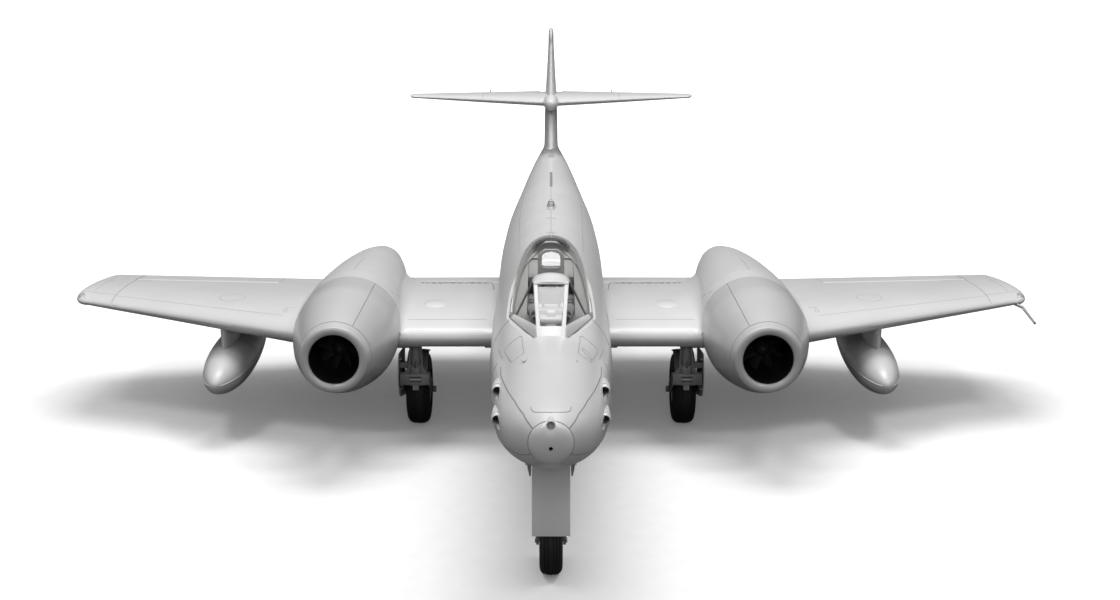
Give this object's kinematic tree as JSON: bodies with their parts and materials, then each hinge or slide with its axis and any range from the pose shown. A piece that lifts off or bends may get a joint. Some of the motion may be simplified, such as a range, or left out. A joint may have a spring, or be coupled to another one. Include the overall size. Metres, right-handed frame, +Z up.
{
  "type": "radio controlled jet plane",
  "caption": "Scale twin-jet model aeroplane with straight wings, wing nacelles, high tailplane, bubble canopy, underwing tanks and folding three-leg landing gear.",
  "frame": {"origin": "on the ground, under the middle of the overall box", "axes": "+Z up, the nose points to -Y, +X is the aeroplane's own left side"},
  "size_m": [1.416, 1.6977, 0.4946],
  "materials": {
    "airframe_plastic": "satin",
    "dark_plastic": "matte",
    "cockpit_plastic": "matte",
    "wheel_metal": "satin",
    "fan_metal": "satin",
    "spar_tube": "satin",
    "ballast_metal": "satin",
    "tyre_rubber": "matte",
    "clear_glazing": "gloss"
  },
  "bodies": {
    "airframe": {"battery": "dark_plastic", "belly_hatch": "airframe_plastic", "cockpit_tub": "cockpit_plastic", "drop_tank_left": "airframe_plastic", "drop_tank_right": "airframe_plastic", "fan_housing_left": "dark_plastic", "fan_housing_right": "dark_plastic", "fin_bullet": "airframe_plastic", "fuselage_front": "airframe_plastic", "fuselage_rear": "airframe_plastic", "instrument_panel": "cockpit_plastic", "intake_cowl_left": "airframe_plastic", "intake_cowl_right": "airframe_plastic", "nacelle_left": "airframe_plastic", "nacelle_right": "airframe_plastic", "nose_cap": "airframe_plastic", "nose_weight": "ballast_metal", "pitot_tube": "fan_metal", "seat": "cockpit_plastic", "tail_fin": "airframe_plastic", "tailplane_left": "airframe_plastic", "tailplane_right": "airframe_plastic", "tank_pylon_left": "airframe_plastic", "tank_pylon_right": "airframe_plastic", "windscreen_frame": "airframe_plastic", "windscreen_glass": "clear_glazing", "wing_centre_left": "airframe_plastic", "wing_centre_right": "airframe_plastic", "wing_outer_left": "airframe_plastic", "wing_outer_right": "airframe_plastic", "wing_spar": "spar_tube"},
    "canopy": {"canopy_frame": "airframe_plastic", "canopy_glass": "clear_glazing"},
    "nose_gear": {"nose_leg": "airframe_plastic", "nose_leg_door": "airframe_plastic"},
    "nose_steering": {"nose_fork": "airframe_plastic"},
    "nose_wheel": {"nose_tyre": "tyre_rubber", "nose_hub": "wheel_metal"},
    "nose_door_left": {"nose_bay_door_left": "airframe_plastic"},
    "nose_door_right": {"nose_bay_door_right": "airframe_plastic"},
    "rudder": {"rudder_lower": "airframe_plastic", "rudder_upper": "airframe_plastic"},
    "main_gear_left": {"main_leg_left": "airframe_plastic", "main_door_left": "airframe_plastic"},
    "main_wheel_left": {"main_tyre_left": "tyre_rubber", "main_hub_left": "wheel_metal"},
    "flap_left": {"flap_left": "airframe_plastic"},
    "aileron_left": {"aileron_left": "airframe_plastic"},
    "airbrake_left": {"airbrake_left": "airframe_plastic"},
    "elevator_left": {"elevator_left": "airframe_plastic"},
    "fan_left": {"fan_rotor_left": "fan_metal"},
    "main_gear_right": {"main_leg_right": "airframe_plastic", "main_door_right": "airframe_plastic"},
    "main_wheel_right": {"main_tyre_right": "tyre_rubber", "main_hub_right": "wheel_metal"},
    "flap_right": {"flap_right": "airframe_plastic"},
    "aileron_right": {"aileron_right": "airframe_plastic"},
    "airbrake_right": {"airbrake_right": "airframe_plastic"},
    "elevator_right": {"elevator_right": "airframe_plastic"},
    "fan_right": {"fan_rotor_right": "fan_metal"}
  },
  "joints": [
    {"name": "canopy_slide", "type": "slide", "parent": "airframe", "child": "canopy", "axis": [0, 0.9891, 0.1474], "range_m": [0, 0.11]},
    {"name": "nose_retract", "type": "hinge", "parent": "airframe", "child": "nose_gear", "pos_m": [0, -0.6628, 0.165], "axis": [1, 0, 0], "range_deg": [0, 90]},
    {"name": "nose_steer", "type": "hinge", "parent": "nose_gear", "child": "nose_steering", "pos_m": [0, -0.6628, 0.041], "axis": [0, 0, 1], "range_deg": [-25, 25]},
    {"name": "nose_wheel_spin", "type": "hinge", "parent": "nose_steering", "child": "nose_wheel", "pos_m": [0, -0.6628, 0.041], "axis": [1, 0, 0], "continuous": true},
    {"name": "nose_door_left_fold", "type": "hinge", "parent": "airframe", "child": "nose_door_left", "pos_m": [0.0285, -0.5783, 0.12613], "axis": [0, 0.9842, -0.177], "range_deg": [0, 90]},
    {"name": "nose_door_right_fold", "type": "hinge", "parent": "airframe", "child": "nose_door_right", "pos_m": [-0.0285, -0.5783, 0.12613], "axis": [0, -0.9842, 0.177], "range_deg": [0, 90]},
    {"name": "main_retract_left", "type": "hinge", "parent": "airframe", "child": "main_gear_left", "pos_m": [0.193, -0.1748, 0.138], "axis": [0, 1, 0], "range_deg": [0, 90]},
    {"name": "main_wheel_spin_left", "type": "hinge", "parent": "main_gear_left", "child": "main_wheel_left", "pos_m": [0.193, -0.1278, 0.053], "axis": [1, 0, 0], "continuous": true},
    {"name": "flap_left_hinge", "type": "hinge", "parent": "airframe", "child": "flap_left", "pos_m": [0.155, 0.1262, 0.13574], "axis": [-1, 0, 0], "range_deg": [0, 40]},
    {"name": "aileron_left_hinge", "type": "hinge", "parent": "airframe", "child": "aileron_left", "pos_m": [0.54, 0.0787, 0.15413], "axis": [-0.9872, 0.1417, -0.0732], "range_deg": [-22, 22]},
    {"name": "elevator_left_hinge", "type": "hinge", "parent": "airframe", "child": "elevator_left", "pos_m": [0.1385, 0.7052, 0.3754], "axis": [-1, 0, 0], "range_deg": [-24, 20]},
    {"name": "airbrake_left_hinge", "type": "hinge", "parent": "airframe", "child": "airbrake_left", "pos_m": [0.1555, 0.0832, 0.15471], "axis": [1, 0, 0], "range_deg": [0, 65]},
    {"name": "fan_left_spin", "type": "hinge", "parent": "airframe", "child": "fan_left", "pos_m": [0.286, -0.2778, 0.15979], "axis": [0, 0.9994, -0.034], "continuous": true},
    {"name": "main_retract_right", "type": "hinge", "parent": "airframe", "child": "main_gear_right", "pos_m": [-0.193, -0.1748, 0.138], "axis": [0, -1, 0], "range_deg": [0, 90]},
    {"name": "main_wheel_spin_right", "type": "hinge", "parent": "main_gear_right", "child": "main_wheel_right", "pos_m": [-0.193, -0.1278, 0.053], "axis": [1, 0, 0], "continuous": true},
    {"name": "flap_right_hinge", "type": "hinge", "parent": "airframe", "child": "flap_right", "pos_m": [-0.155, 0.1262, 0.13574], "axis": [-1, 0, 0], "range_deg": [0, 40]},
    {"name": "aileron_right_hinge", "type": "hinge", "parent": "airframe", "child": "aileron_right", "pos_m": [-0.54, 0.0787, 0.15413], "axis": [-0.9872, -0.1417, 0.0732], "range_deg": [-22, 22]},
    {"name": "elevator_right_hinge", "type": "hinge", "parent": "airframe", "child": "elevator_right", "pos_m": [-0.1385, 0.7052, 0.3754], "axis": [-1, 0, 0], "range_deg": [-24, 20]},
    {"name": "airbrake_right_hinge", "type": "hinge", "parent": "airframe", "child": "airbrake_right", "pos_m": [-0.1555, 0.0832, 0.15471], "axis": [1, 0, 0], "range_deg": [0, 65]},
    {"name": "fan_right_spin", "type": "hinge", "parent": "airframe", "child": "fan_right", "pos_m": [-0.286, -0.2778, 0.15979], "axis": [0, 0.9994, -0.034], "continuous": true},
    {"name": "rudder_hinge", "type": "hinge", "parent": "airframe", "child": "rudder", "pos_m": [0, 0.7542, 0.3725], "axis": [0, 0, 1], "range_deg": [-28, 28]}
  ],
  "couplings": [
    {"joint": "main_retract_left", "follows": "nose_retract", "ratio": 1},
    {"joint": "main_retract_right", "follows": "nose_retract", "ratio": 1},
    {"joint": "nose_door_left_fold", "follows": "nose_retract", "ratio": 1},
    {"joint": "nose_door_right_fold", "follows": "nose_retract", "ratio": 1},
    {"joint": "flap_right_hinge", "follows": "flap_left_hinge", "ratio": 1},
    {"joint": "aileron_right_hinge", "follows": "aileron_left_hinge", "ratio": -1},
    {"joint": "elevator_right_hinge", "follows": "elevator_left_hinge", "ratio": 1},
    {"joint": "airbrake_right_hinge", "follows": "airbrake_left_hinge", "ratio": 1}
  ]
}
